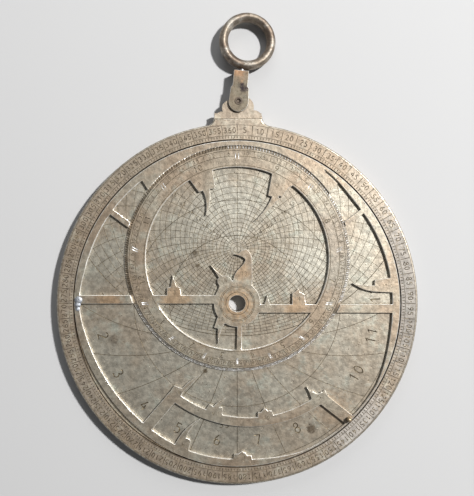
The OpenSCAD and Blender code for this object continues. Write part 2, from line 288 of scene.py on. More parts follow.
def solid_copy(node, bevel, wide=None, clamp=True, flatten=True, walls=SKIN):
    """The CAD node's solid with its sharp edges rounded off.

    wide is (bevel, segments, test): edges whose middle passes the test get that bevel first.
    walls is the material slot of the upright faces. Bevels go on the EDGE slot.
    """
    bm = bmesh.new()
    bm.from_mesh(nodes[node].data)
    bm.normal_update()
    for f in bm.faces:
        f.material_index = walls if abs(f.normal.z) < 0.1 else SKIN
    bmesh.ops.remove_doubles(bm, verts=bm.verts, dist=1e-7)
    if flatten:
        bmesh.ops.dissolve_limit(bm, angle_limit=math.radians(0.3), verts=bm.verts, edges=bm.edges)
    if wide is not None:
        width, segments, test = wide
        bevel_edges(bm, [e for e in sharp_edges(bm) if test(middle(e))], width, segments, clamp)
    bevel_edges(bm, roomy(sharp_edges(bm), 2.6 * bevel), bevel, 2, clamp)
    bevel_edges(bm, sharp_edges(bm), 0.4 * bevel, 2, clamp)
    # a bevel overshoots on a very sharp corner, so it is kept between the lowest and highest faces
    low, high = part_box(node)
    for v in bm.verts:
        v.co.z = min(max(v.co.z, low.z), high.z)
    bmesh.ops.triangulate(bm, faces=bm.faces)
    mesh = bpy.data.meshes.new(node + "_solid")
    bm.to_mesh(mesh)
    bm.free()
    return new_object(node + "_detailed", mesh)


def cutter(parts, materials, slot):
    """One object from many (vertices, faces), every face on the chosen material slot."""
    verts, faces, start = [], [], 0
    for v, f in parts:
        verts.append(v)
        faces += [tuple(i + start for i in face) for face in f]
        start += len(v)
    mesh = bpy.data.meshes.new("cutter")
    mesh.from_pydata(np.concatenate(verts).tolist(), [], faces)
    for m in materials:
        mesh.materials.append(m)
    mesh.polygons.foreach_set("material_index", np.full(len(faces), slot, np.int32))
    return bpy.data.objects.new("cutter", mesh)


def engrave(piece, face, pits=()):
    """Cuts every groove and pit of a face out of piece, for good."""
    materials = list(piece.data.materials)
    tools = bpy.data.collections.new("cutters")
    bpy.context.scene.collection.children.link(tools)
    for step in sorted(face.passes):
        slot = PALE if step.startswith("pale") else DARK
        grooves = [groove_mesh(*g, face.side) for g in face.passes[step]]
        tools.objects.link(cutter(grooves, materials, slot))
    if pits:
        cones = [pit_mesh(face.place(x, y), r, 0.5 * r, face.side) for x, y, r in pits]
        tools.objects.link(cutter(cones, materials, DARK))
    boolean = piece.modifiers.new("cut", "BOOLEAN")
    boolean.operation = "DIFFERENCE"
    boolean.solver = "MANIFOLD"
    boolean.operand_type = "COLLECTION"
    boolean.collection = tools
    depsgraph = bpy.context.evaluated_depsgraph_get()
    made = bpy.data.meshes.new_from_object(piece.evaluated_get(depsgraph), depsgraph=depsgraph)
    piece.modifiers.remove(boolean)
    piece.data = made
    for tool in list(tools.objects):
        bpy.data.objects.remove(tool)
    bpy.data.collections.remove(tools)


def scattered_pits(seed, count, inside, smallest=0.1 * MM, largest=0.34 * MM):
    """Places for pits that keep clear of each other; inside(x, y) says where they may be."""
    dice = Random(seed)
    placed = []
    while len(placed) < count:
        x, y = dice.uniform(-disc_r, disc_r), dice.uniform(-disc_r, disc_r)
        r = smallest + (largest - smallest) * dice.random() ** 3
        if inside(x, y) and all(math.hypot(x - a, y - b) > 2.5 * (r + c) for a, b, c in placed):
            placed.append((x, y, r))
    return placed


def shade(mesh):
    """Smooth between sharp edges, except for level faces, which stay truly flat."""
    mesh.shade_smooth()
    mesh.set_sharp_from_angle(angle=math.radians(32))
    smooth = [abs(p.normal.z) < 0.999 for p in mesh.polygons]
    mesh.polygons.foreach_set("use_smooth", smooth)


def finish_piece(piece, name, body, slot, *replaced):
    """Names and shades a finished piece and hands it to its body."""
    piece.name = name
    piece.data.name = name
    shade(piece.data)
    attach(piece, body)
    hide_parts(*replaced)


# ---------- materials ----------

class Metal:
    """Builds an aged metal from procedural nodes, in the part's own coordinates."""

    def __init__(self, name, metallic):
        self.material = bpy.data.materials.new(name)
        self.material.use_nodes = True
        self.tree = self.material.node_tree
        self.shader = self.tree.nodes["Principled BSDF"]
        self.shader.inputs["Metallic"].default_value = metallic
        self.place = self.tree.nodes.new("ShaderNodeTexCoord").outputs["Object"]

    def node(self, kind, links=None, **settings):
        made = self.tree.nodes.new(kind)
        for key, value in settings.items():
            setattr(made, key, value)
        for socket, value in (links or {}).items():
            self.feed(made.inputs[socket], value)
        return made

    def feed(self, socket, value):
        if isinstance(value, bpy.types.NodeSocket):
            self.tree.links.new(value, socket)
        else:
            socket.default_value = value

    def noise(self, size, detail=4.0, rough=0.55, place=None):
        """Noise whose features are about size metres across."""
        links = {"Vector": place or self.place, "Scale": 1 / size, "Detail": detail, "Roughness": rough}
        return self.node("ShaderNodeTexNoise", links).outputs["Fac"]

    def band(self, value, low, high):
        """0 below low, 1 above high, smooth between; low above high turns it round."""
        links = {"Value": value, "From Min": low, "From Max": high}
        made = self.node("ShaderNodeMapRange", links, interpolation_type="SMOOTHSTEP", clamp=True)
        return made.outputs["Result"]

    def math(self, operation, a, b=0.0, c=0.0):
        made = self.node("ShaderNodeMath", {0: a, 1: b, 2: c}, operation=operation)
        return made.outputs[0]

    def weighted(self, start, *terms):
        """start plus each (weight, value) pair multiplied out."""
        total = start
        for weight, value in terms:
            total = self.math("MULTIPLY_ADD", value, weight, total)
        return total

    def grey(self, value):
        return self.node("ShaderNodeCombineColor", {0: value, 1: value, 2: value}).outputs[0]

    def blend(self, share, a, b, mode="MIX"):
        made = self.node("ShaderNodeMix", data_type="RGBA", blend_type=mode)
        self.feed(made.inputs[0], share)
        for socket, value in ((made.inputs[6], a), (made.inputs[7], b)):
            self.feed(socket, value if isinstance(value, bpy.types.NodeSocket) else (*value, 1.0))
        return made.outputs[2]

    def scratches(self, angle, size, seed):
        """Thin straight scratches lying at angle degrees in the XY plane; 1 on a scratch."""
        turned = self.node("ShaderNodeMapping", {"Vector": self.place,
                                                 "Location": (seed, seed * 0.7, 0.0),
                                                 "Rotation": (0, 0, math.radians(angle)),
                                                 "Scale": (0.03, 1.0, 0.2)}).outputs["Vector"]
        lines = self.noise(size, 2.0, 0.5, turned)
        return self.band(self.math("ABSOLUTE", self.math("SUBTRACT", lines, 0.5)), 0.012, 0.002)

    def stain(self, at, r):
        """A soft round patch with a ragged edge, 1 in its middle."""
        ragged = self.noise(1.6 * MM, 3.0, 0.6)
        apart = self.node("ShaderNodeVectorMath", {0: self.place, 1: at}, operation="DISTANCE")
        reach = self.math("MULTIPLY_ADD", ragged, 1.3 * r, apart.outputs["Value"])
        return self.band(reach, 1.6 * r, 1.0 * r)

    def pits(self):
        """1 in small round pits, which come in clusters."""
        pores = self.node("ShaderNodeTexVoronoi", {"Vector": self.place, "Scale": 1 / (1.5 * MM),
                                                   "Randomness": 1.0}).outputs["Distance"]
        clusters = self.band(self.noise(4 * MM, 2.0, 0.5), 0.44, 0.56)
        return self.math("MULTIPLY", self.band(pores, 0.2, 0.08), clusters)

    def wear(self):
        """Scratches in four directions; 1 on a scratch."""
        scratch = self.scratches(17, 0.5 * MM, 0.11)
        for angle, size, seed in ((-48, 0.7 * MM, 0.43), (71, 0.6 * MM, 0.78), (122, 0.9 * MM, 0.27)):
            scratch = self.math("MAXIMUM", scratch, self.scratches(angle, size, seed))
        return scratch

    def bump(self, height, distance, strength=1.0):
        made = self.node("ShaderNodeBump", {"Height": height, "Distance": distance, "Strength": strength})
        self.feed(self.shader.inputs["Normal"], made.outputs["Normal"])


def aged_brass(name, base, warm, cool, rough=0.42, dirt=(0.10, 0.075, 0.045), grime=0.5, stains_and_painted_light=()):
    """Dull old brass: mottled tarnish, pits, hairline scratches and grime, with a hand-worked surface; the
    given patches add stains and, on the limb and plates, painted light and shade.
    """
    metal = Metal(name, 0.8)
    broad = metal.noise(24 * MM, 3.0, 0.55)
    patches = metal.noise(7 * MM, 5.0, 0.62)
    fine = metal.noise(0.9 * MM, 4.0, 0.65)
    grain = metal.noise(0.22 * MM, 2.0, 0.5)
    colour = metal.blend(metal.band(broad, 0.38, 0.64), base, warm)
    colour = metal.blend(metal.band(patches, 0.5, 0.72), colour, cool)
    speckle = metal.band(fine, 0.54, 0.7)
    colour = metal.blend(metal.math("MULTIPLY", speckle, grime), colour, dirt)
    pits = metal.pits()
    colour = metal.blend(metal.math("MULTIPLY", pits, 0.85), colour, dirt)
    worn = metal.math("MULTIPLY", metal.wear(), metal.band(patches, 0.42, 0.62))
    pale = tuple(min(1.0, 1.35 * c + 0.05) for c in base)
    colour = metal.blend(metal.math("MULTIPLY", worn, 0.5), colour, pale)
    for at, r, tint, share in stains_and_painted_light:
        colour = metal.blend(metal.math("MULTIPLY", metal.stain(at, r), share), colour, tint)
    blotch = metal.band(metal.noise(2.4 * MM, 3.0, 0.6), 0.3, 0.7)
    light_and_dark = metal.grey(metal.weighted(0.49, (0.42, blotch), (0.6, grain)))
    colour = metal.blend(1.0, colour, light_and_dark, "MULTIPLY")
    metal.feed(metal.shader.inputs["Base Color"], colour)
    sheen = metal.weighted(rough - 0.12, (0.24, patches), (0.18, speckle), (-0.1, worn), (0.2, pits))
    metal.feed(metal.shader.inputs["Roughness"], sheen)
    height = metal.weighted(0.0, (0.5, fine), (2.2, patches), (0.2, grain), (0.5, blotch),
                            (-0.8, pits), (-0.12, worn))
    metal.bump(height, 0.10 * MM, 0.55)
    return metal.material


def cut_metal(name, floor, ridge, rough, metallic=0.6):
    """The walls of an engraved line, and rubbed edges: grime with bare metal showing through in places;
    near-white bare metal is partly painted highlight.
    """
    metal = Metal(name, metallic)
    bare = metal.band(metal.noise(1.1 * MM, 3.0, 0.6), 0.42, 0.62)
    metal.feed(metal.shader.inputs["Base Color"], metal.blend(bare, floor, ridge))
    metal.feed(metal.shader.inputs["Roughness"], metal.math("MULTIPLY_ADD", bare, -0.15, rough))
    metal.bump(metal.noise(0.3 * MM, 2.0, 0.5), 0.04 * MM, 0.5)
    return metal.material


# A brass has its base, warm and cool tints. A patch is (middle, reach, tint, share of cover): most are
# stains, and some on the limb and the plates are painted light and shade.
tarnish, warm_tarnish = (0.09, 0.065, 0.04), (0.44, 0.29, 0.165)
copper, scorch = (0.33, 0.20, 0.115), (0.03, 0.022, 0.026)
plate_stains_and_painted_light = [
    ((-20.5 * MM, 24.5 * MM, plate_top), 2.1 * MM, tarnish, 0.75),
    ((-19.3 * MM, 18.4 * MM, plate_top), 1.3 * MM, tarnish, 0.75),
    ((-60 * MM, -18 * MM, plate_top), 3.0 * MM, tarnish, 0.5),
    ((36.2 * MM, -61 * MM, plate_top), 3.0 * MM, tarnish, 0.8),
    ((44.4 * MM, -50 * MM, plate_top), 2.4 * MM, tarnish, 0.9),
    ((-15.7 * MM, -33 * MM, plate_top), 1.6 * MM, tarnish, 0.9),
    # painted light: these two broad pale patches brighten the plate towards the key lamp on the right and
    # the fill lamp at the top
    ((34 * MM, 18 * MM, plate_top), 16 * MM, (0.50, 0.48, 0.41), 0.6),
    ((-6 * MM, 42 * MM, plate_top), 24 * MM, (0.50, 0.48, 0.41), 0.5),
    # this broad darker patch only darkens the plate towards the bottom
    ((0, -54 * MM, plate_top), 20 * MM, (0.25, 0.23, 0.19), 0.55),
    ((46 * MM, -52 * MM, plate_top), 13 * MM, (0.33, 0.24, 0.16), 0.6),
]
rete_stains = [
    ((0, 0, rete_top), 11 * MM, warm_tarnish, 0.7),
    ((-30 * MM, 2 * MM, rete_top), 10 * MM, warm_tarnish, 0.6),
    ((-62 * MM, 2 * MM, rete_top), 8 * MM, warm_tarnish, 0.6),
    ((28 * MM, -2 * MM, rete_top), 7 * MM, warm_tarnish, 0.5),
    ((2 * MM, 15 * MM, rete_top), 6 * MM, warm_tarnish, 0.4),
    ((46 * MM, 26 * MM, rete_top), 30 * MM, (0.27, 0.24, 0.20), 0.6),
    ((0, 68 * MM, rete_top), 34 * MM, (0.29, 0.235, 0.175), 0.55),
]
# On the limb the pale patch at the lower right is a painted sheen, and the darker brown patch at the upper
# left is painted shade on the side away from the light; the broad grey patch on the right only makes that
# side greyer and darker.
limb_stains_and_painted_light = [
    ((84 * MM, 8 * MM, limb_top), 52 * MM, (0.25, 0.24, 0.225), 0.75),
    ((60 * MM, -60 * MM, limb_top), 26 * MM, (0.52, 0.50, 0.47), 0.6),
    ((-40 * MM, 72 * MM, limb_top), 40 * MM, (0.27, 0.225, 0.17), 0.6),
]
shackle_spots = (  # right of and above the rivet, and reach, in mm
    (0.4, 14.2, 4.6, copper),
    (1.4, 9.8, 2.2, copper),
    (-0.2, 10.6, 1.7, scorch),
    (0.8, 6.9, 2.6, scorch),
    (2.2, 6.4, 3.2, scorch),
    (3.6, 5.9, 2.8, scorch),
    (3.2, 3.6, 1.4, scorch),
)
shackle_stains = [(tuple(shackle_pivot + Vector((x, y, 1.8)) * MM), r * MM, tint, 0.85)
                  for x, y, r, tint in shackle_spots]
limb_brass = aged_brass("Limb_brass", (0.36, 0.305, 0.24), (0.31, 0.245, 0.18), (0.41, 0.375, 0.30),
                        rough=0.55, stains_and_painted_light=limb_stains_and_painted_light)
plate_brass = aged_brass("Plate_brass", (0.39, 0.36, 0.295), (0.36, 0.305, 0.235), (0.335, 0.335, 0.28),
                         rough=0.46, stains_and_painted_light=plate_stains_and_painted_light)
rete_brass = aged_brass("Rete_brass", (0.37, 0.33, 0.26), (0.35, 0.275, 0.20), (0.335, 0.32, 0.26),
                        rough=0.47, stains_and_painted_light=rete_stains)
ring_brass = aged_brass("Ring_brass", (0.36, 0.31, 0.245), (0.17, 0.13, 0.10), (0.46, 0.43, 0.38),
                        rough=0.56, grime=0.95)
shackle_brass = aged_brass("Shackle_brass", (0.175, 0.15, 0.11), (0.20, 0.145, 0.10), (0.14, 0.13, 0.105),
                           rough=0.5, grime=0.8, stains_and_painted_light=shackle_stains)
rivet_brass = aged_brass("Rivet_brass", (0.42, 0.35, 0.24), (0.36, 0.27, 0.17), (0.40, 0.36, 0.28),
                         rough=0.4)
dark_rivet = aged_brass("Dark_rivet", (0.10, 0.08, 0.065), (0.16, 0.12, 0.08), (0.12, 0.10, 0.085),
                        rough=0.5)
dark_cut = cut_metal("Dark_engraving", (0.05, 0.036, 0.022), (0.17, 0.135, 0.08), 0.6)
# painted highlight in part: the pale engraving's near-white bare metal stands in for the glint of lit
# groove walls
pale_cut = cut_metal("Pale_engraving", (0.36, 0.34, 0.31), (0.95, 0.95, 0.95), 0.42, 0.4)
# painted highlight in part: the near-white rubbed metal on bevels, on the rete's sawn walls and on the
# shackle's edges stands in for the glints of edges and walls that face the light
rubbed_edge_and_highlight = cut_metal("Rubbed_edge_and_highlight", (0.60, 0.56, 0.49), (0.88, 0.86, 0.82), 0.42, 0.45)
worn_edge = cut_metal("Worn_edge", (0.30, 0.255, 0.195), (0.52, 0.475, 0.40), 0.5, 0.75)


def solder_metal():
    """Dull grey soft solder, lumpy and slightly blue."""
    metal = Metal("Soft_solder", 0.85)
    lumps = metal.noise(1.2 * MM, 4.0, 0.6)
    spots = metal.band(metal.noise(0.5 * MM, 3.0, 0.6), 0.5, 0.7)
    colour = metal.blend(metal.band(lumps, 0.35, 0.65), (0.26, 0.28, 0.31), (0.5, 0.52, 0.55))
    metal.feed(metal.shader.inputs["Base Color"], metal.blend(spots, colour, (0.22, 0.21, 0.2)))
    metal.feed(metal.shader.inputs["Roughness"], metal.math("MULTIPLY_ADD", lumps, 0.3, 0.4))
    metal.bump(lumps, 0.25 * MM, 0.8)
    return metal.material


def worn_steel():
    """The pale pin: bare steel with a little brown rust."""
    metal = Metal("Worn_steel", 0.9)
    rust = metal.band(metal.noise(1.0 * MM, 5.0, 0.65), 0.52, 0.7)
    metal.feed(metal.shader.inputs["Base Color"], metal.blend(rust, (0.36, 0.36, 0.37), (0.16, 0.12, 0.09)))
    metal.feed(metal.shader.inputs["Roughness"], metal.math("MULTIPLY_ADD", rust, 0.2, 0.5))
    metal.bump(metal.noise(0.4 * MM, 3.0, 0.6), 0.06 * MM, 0.6)
    return metal.material


solder = solder_metal()
steel = worn_steel()


def coated(piece, skin, edge):
    """Fills the piece's slots SKIN, DARK, PALE and EDGE: its skin, the two engravings, its edges."""
    for m in (skin, dark_cut, pale_cut, edge):
        piece.data.materials.append(m)
    return piece


# ---------- mater: limb, back disc ----------

def limb_face():
    """The limb's degree scale: ticks, five-degree cells and their numbers, clockwise from the throne."""
    face = Face(limb_top, FRONT)
    tick_in, tick_out = recess_r + 0.35 * MM, recess_r + 1.45 * MM
    inner_line, outer_line = recess_r + 1.75 * MM, disc_r - 1.0 * MM
    for degree in range(360):
        if degree % 5:
            face.radial(90 - degree, tick_in, tick_out, 0.34 * MM)
        else:
            face.radial(90 - degree, tick_in, inner_line - 0.25 * MM, 0.34 * MM)
            face.radial(90 - degree, inner_line + 0.25 * MM, outer_line - 0.25 * MM, 0.3 * MM)
    number_r = (inner_line + outer_line) / 2
    for number in range(5, 361, 5):
        angle = 90 - (number - 2.5)
        write_number(face, number, polar(number_r, angle), 2.6 * MM, angle - 90, 0.34 * MM)
    face.circle(0, 0, inner_line, 0.22 * MM, "c")
    face.circle(0, 0, outer_line, 0.2 * MM, "c")
    return face


def on_outer_edge(m):
    return math.hypot(m.x, m.y) > disc_r - 0.3 * MM


def build_limb():
    top_edge = (0.8 * MM, 4, lambda m: m.z > limb_top - 0.05 * MM and on_outer_edge(m))
    limb = coated(solid_copy("limb", 0.14 * MM, top_edge), limb_brass, worn_edge)
    pits = scattered_pits(3, 90, lambda x, y: recess_r + 1.9 * MM < math.hypot(x, y) < disc_r - 1.4 * MM)
    engrave(limb, limb_face(), pits)
    finish_piece(limb, "limb_engraved", "mater", "mater", "limb")


def back_face():
    """The back: altitude scales, a calendar ring, a sine grid, hour arcs and the shadow square."""
    face = Face(0.0, BACK)
    altitude_scales(face)
    calendar_in, calendar_out = disc_r - 17 * MM, disc_r - 10.5 * MM
    calendar(face, calendar_in, calendar_out)
    quarters_r = calendar_in - 2 * MM
    sine_grid(face, quarters_r)
    hour_arcs(face, quarters_r)
    shadow_square(face, quarters_r / math.sqrt(2) - 1 * MM)
    return face


def altitude_scales(face):
    """Degree ticks round the rim, and numbers up to 90 that start afresh in each quarter."""
    rim, ticks, numbers = (disc_r - d * MM for d in (1.2, 3.6, 8.2))
    for degree in range(360):
        face.radial(degree, ticks + 0.2 * MM, rim - 0.2 * MM, 0.24 * MM)
        if degree % 5 == 0:
            face.radial(degree, numbers + 0.2 * MM, ticks - 0.2 * MM, 0.26 * MM)
    for quarter in range(4):
        for number in range(5, 91, 5):
            inward = number - 2.5
            angle = quarter * 90 + (inward if quarter % 2 == 0 else 90 - inward)
            at = polar((numbers + ticks) / 2, angle)
            write_number(face, number, at, 2.3 * MM, angle - 90, 0.22 * MM)
    for r in (rim, ticks, numbers):
        face.circle(0, 0, r, 0.22 * MM, "c")


def calendar(face, inner, outer):
    """Twelve numbered months of thirty days, with a longer tick every fifth day."""
    for month in range(12):
        face.radial(month * 30, inner + 0.2 * MM, outer - 0.2 * MM, 0.26 * MM)
        angle = 90 - (month * 30 + 15)
        write_number(face, month + 1, polar(inner + 2.6 * MM, angle), 2.4 * MM, angle - 90, 0.24 * MM)
        for day in range(1, 30):
            length, width = (1.5 * MM, 0.2 * MM) if day % 5 else (2.4 * MM, 0.22 * MM)
            face.radial(month * 30 + day, outer - length, outer - 0.2 * MM, width)
    for r in (inner, outer):
        face.circle(0, 0, r, 0.22 * MM, "c")


def sine_grid(face, r):
    """Upper left quarter: level lines at each three degrees of altitude."""
    for i in range(1, 28):
        y = r * math.sin(math.radians(3 * i))
        start = -math.sqrt(r * r - y * y) + 0.2 * MM
        end = -1 * MM if y > bore_r + 4 * MM else -bore_r - 5 * MM
        face.line([(start, y), (end, y)], 0.18 * MM, "a")
    face.line(arc(0, 0, r, 91, 179.5, 60), 0.22 * MM, "c")


def hour_arcs(face, r):
    """Upper right quarter: six arcs through the centre for the unequal hours."""
    for hour in range(1, 7):
        tilt = math.radians(15 * hour)
        circle_r = r / (2 * math.sin(tilt))
        start = 2 * math.degrees(math.asin((bore_r + 10 * MM) / (2 * circle_r)))
        points = arc(0, circle_r, circle_r, start - 90, 30 * hour - 90, 40)
        inside = [p for p in points if p[0] > 1 * MM and math.hypot(*p) < r - 0.2 * MM]
        face.line(inside, 0.2 * MM, f"hour{hour}")
    face.line(arc(0, 0, r, 0.5, 89, 60), 0.22 * MM, "c")


def shadow_square(face, half):
    """Lower half: a box with twelve divisions on each side, numbered by threes."""
    top, inner, tick = -8 * MM, half - 4.6 * MM, half - 1.5 * MM
    base = -half + 0.2 * MM
    for edge in (half, tick, inner):
        face.line([(-edge, top), (-edge, -edge), (edge, -edge), (edge, top)], 0.22 * MM, "c")
    pitch = half / 12
    for i in range(1, 12):
        for s in (-1, 1):
            face.line([(s * i * pitch, base), (s * i * pitch, -tick + (-0.2 if i % 3 else 2.9) * MM)],
                      0.2 * MM, "d")
            if -i * pitch < top - 1 * MM:
                face.line([(s * (half - 0.2 * MM), -i * pitch),
                           (s * (tick + (0.2 if i % 3 else -2.9) * MM), -i * pitch)], 0.2 * MM, "d")
    for i in (3, 6, 9, 12):
        for s in (-1, 1):
            at = (i - 1.5) * pitch
            write_number(face, i, (s * at, -(tick + inner) / 2), 2.3 * MM, 0, 0.2 * MM, ("e", "f"))
    face.line([(0, base), (0, -bore_r - 5 * MM)], 0.22 * MM, "d")
    for r in (bore_r + 1.4 * MM, bore_r + 4 * MM):
        face.circle(0, 0, r, 0.22 * MM, "c")


def build_back():
    bottom_edge = (0.4 * MM, 4, lambda m: m.z < 0.05 * MM and on_outer_edge(m))
    back = coated(solid_copy("mater_plate", 0.12 * MM, bottom_edge), limb_brass, worn_edge)
    engrave(back, back_face())
    finish_piece(back, "mater_plate_engraved", "mater", "mater", "mater_plate")


# ---------- climate plates ----------

def keep_inside(points, test):
    """The runs of points that pass the test, as separate lists."""
    runs, run = [], []
    for p in points:
        if test(*p):
            run.append(p)
        elif run:
            runs.append(run)
            run = []
    if run:
        runs.append(run)
    return [r for r in runs if len(r) > 2]


def almucantar(latitude, altitude):
    """Centre height and radius of the circle of equal altitude."""
    below = math.sin(latitude) + math.sin(altitude)
    return equator_r * math.cos(latitude) / below, equator_r * math.cos(altitude) / below


def circle_through(p, q, r):
    """Centre and radius of the circle through three points."""
    (ax, ay), (bx, by), (cx, cy) = p, q, r
    d = 2 * (ax * (by - cy) + bx * (cy - ay) + cx * (ay - by))
    sa, sb, sc = ax * ax + ay * ay, bx * bx + by * by, cx * cx + cy * cy
    x = (sa * (by - cy) + sb * (cy - ay) + sc * (ay - by)) / d
    y = (sa * (cx - bx) + sb * (ax - cx) + sc * (bx - ax)) / d
    return x, y, math.hypot(ax - x, ay - y)


def hour_point(latitude, circle_r, hour):
    """Where a circle about the pole is cut at a twelfth of its arc below the horizon."""
    centre, radius = almucantar(latitude, 0)
    y = (circle_r ** 2 + centre ** 2 - radius ** 2) / (2 * centre)
    rise = math.asin(y / circle_r)
    angle = math.pi - rise + (math.pi + 2 * rise) * hour / 12
    return circle_r * math.cos(angle), circle_r * math.sin(angle)


def hour_lines(face, latitude, width):
    for hour in range(1, 12):
        radii = (cancer_r, equator_r, capricorn_r)
        inner, at_equator, outer = (hour_point(latitude, r, hour) for r in radii)
        if hour == 6:
            face.line([inner, outer], width, "d")
            continue
        x, y, r = circle_through(inner, at_equator, outer)
        start = math.degrees(math.atan2(inner[1] - y, inner[0] - x))
        end = math.degrees(math.atan2(outer[1] - y, outer[0] - x))
        end = start + (end - start + 180) % 360 - 180
        face.line(arc(x, y, r, start, end, 28), width, "d")


def on_sky(x, y):
    return plate_clear_r < math.hypot(x, y) < plate_edge_r


def cut_almucantars(face, latitude, altitude_step, width):
    """Circles of equal altitude; those that leave the plate are cut short, and the horizon is wider."""
    for altitude in range(0, 90, altitude_step):
        y, r = almucantar(latitude, math.radians(altitude))
        count = max(24, int(2 * math.pi * r / (1.3 * MM)))
        if y + r < plate_edge_r and abs(y - r) > plate_clear_r:
            face.line(arc(0, y, r, 90, 450 - 360 / count, count - 1), width, "a", closed=True)
        else:
            start = 90 if y + r > plate_edge_r else -90
            heavy = 1.6 if altitude == 0 else 1.0
            for run in keep_inside(arc(0, y, r, start, start + 360, count), on_sky):
                face.line(run, width * heavy, "a")


def cut_azimuths(face, latitude, azimuth_step, width):
    """Arcs from the horizon towards the zenith; every second one stops lower."""
    centre_y = -equator_r * math.tan(latitude)
    horizon_y, horizon_r = almucantar(latitude, 0)
    stops = [almucantar(latitude, math.radians(a)) for a in (72, 84)]
    for i, azimuth in enumerate(np.arange(-90 + azimuth_step, 90, azimuth_step)):
        turn = math.radians(azimuth)
        x = equator_r * math.tan(turn) / math.cos(latitude)
        r = equator_r / (math.cos(latitude) * math.cos(turn))
        top_y, top_r = stops[i % 2]
        count = int(min(900, 2 * math.pi * r / (0.9 * MM)))
        circle = arc(x, centre_y, r, 0, 360, count) if r < 10 * equator_r else []

        def in_range(px, py):
            return (on_sky(px, py)
                    and math.hypot(px, py - horizon_y) < horizon_r
                    and math.hypot(px, py - top_y) > top_r)

        for run in keep_inside(circle, in_range):
            face.line(run, width, "b")


def plate_face(top, latitude, altitude_step, azimuth_step):
    """One climate plate's front: sky grid, tropics, equator, meridian, hours and their numbers."""
    face = Face(top, FRONT)
    angle = math.radians(latitude)
    cut_almucantars(face, angle, altitude_step, 0.2 * MM)
    cut_azimuths(face, angle, azimuth_step, 0.2 * MM)
    for r in (cancer_r, equator_r, capricorn_r):
        face.circle(0, 0, r, 0.24 * MM, "c")
    hour_lines(face, angle, 0.26 * MM)
    key_end = -(recess_r - 14.5 * MM)
    face.line([(0.0, capricorn_r), (0.0, plate_clear_r)], 0.24 * MM, "d")
    face.line([(0.0, -cancer_r), (0.0, -plate_clear_r)], 0.24 * MM, "e")
    for s in (-1, 1):
        face.line([(s * capricorn_r, 0.0), (s * plate_clear_r, 0.0)], 0.24 * MM, "e")
    for hour in range(12):
        x, y = hour_point(angle, capricorn_r - 9.5 * MM, hour + 0.5)
        turn = math.degrees(math.atan2(y, x)) + 90
        write_number(face, hour + 1, (x, y), 5.2 * MM, turn, 0.54 * MM, ("f", "g"))
    write_number(face, latitude, (-6.5 * MM, key_end + 6 * MM), 3.2 * MM, 0, 0.3 * MM, ("f", "g"))
    altitude_numbers(face, angle)
    return face


def altitude_numbers(face, latitude):
    """Every sixth degree is numbered where its circle crosses two slanting rows, left and right."""
    for altitude in range(6, 73, 6):
        y, r = almucantar(latitude, math.radians(altitude))
        for side in (-1, 1):
            turn = math.radians(90 - side * 62)
            x, v = r * math.cos(turn), y + r * math.sin(turn)
            if math.hypot(x, v) < capricorn_r - 3 * MM:
                write_number(face, altitude, (x, v + 1.0 * MM), 1.8 * MM, 0, 0.24 * MM, ("h", "i"))


def build_plate(word, latitude, altitude_step, azimuth_step, pit_count):
    node = f"climate_plate_{word}"
    plate = coated(solid_copy(node, 0.1 * MM), plate_brass, worn_edge)
    pits = scattered_pits(latitude, pit_count,
                          lambda x, y: bore_r + 2 * MM < math.hypot(x, y) < capricorn_r - 1 * MM)
    face = plate_face(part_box(node)[1].z, latitude, altitude_step, azimuth_step)
    engrave(plate, face, pits)
    finish_piece(plate, node + "_engraved", f"plate_{word}", "plate", node)


# ---------- rete ----------

def ecliptic_angle(longitude):
    """Direction from the pole to a point of the ecliptic, in degrees anticlockwise from +X."""
    lam = math.radians(longitude)
    return math.degrees(math.atan2(math.sin(lam) * math.cos(obliquity), math.cos(lam))) + 180


def on_ecliptic(longitude, r):
    """Where the pole's line to that longitude meets a circle of radius r round the ecliptic's centre."""
    a = math.radians(ecliptic_angle(longitude))
    ux, uy = math.cos(a), math.sin(a)
    along = uy * ecliptic_y
    t = along + math.sqrt(along * along - ecliptic_y ** 2 + r * r)
    return t * ux, t * uy


def rete_face():
    """The ecliptic's three rings of divisions, the collar round the pin, and the pointers' numbers."""
    face = Face(rete_top, FRONT)
    inner, track, outer = ecliptic_in_r + 0.9 * MM, ecliptic_in_r + 5.2 * MM, bevel_in_r - 0.7 * MM
    bevel_ticks(face)
    for sign in range(12):
        start = 30 * sign
        for shift in (-0.55, 0.55):
            ends = [on_ecliptic(start + shift, r) for r in (inner + 3 * MM, outer - 1.2 * MM)]
            face.line(ends, 0.36 * MM, "pale_b")
        for degree in range(start + 6, start + 30, 6):
            ends = [on_ecliptic(degree, r) for r in (track + 0.2 * MM, outer - 0.1 * MM)]
            face.line(ends, 0.22 * MM, "b")
        for part in range(5):
            at = on_ecliptic(start + 6 * part + 3, (track + outer) / 2)
            number_on_band(face, 6 * part + 6, at, 1.9 * MM, 0.22 * MM)
        number_on_band(face, sign + 1, on_ecliptic(start + 15, (inner + track) / 2), 2.9 * MM, 0.32 * MM)
    for r in (inner, track, outer):
        face.circle(0, ecliptic_y, r, 0.24 * MM, "e")
    for r in (bore_r + 1.5 * MM, bore_r + 3.9 * MM, bore_r + 4.5 * MM):
        face.circle(0, 0, r, 0.22 * MM, "e")
    pointer_numbers(face)
    return face


def ecliptic_bearing(x, y):
    """Direction from the ecliptic's centre to a point, in degrees anticlockwise from +X."""
    return math.degrees(math.atan2(y - ecliptic_y, x))


def number_on_band(face, value, at, height, width):
    """A number whose top points away from the ecliptic's centre."""
    write_number(face, value, at, height, ecliptic_bearing(*at) - 90, width, ("c", "d"))


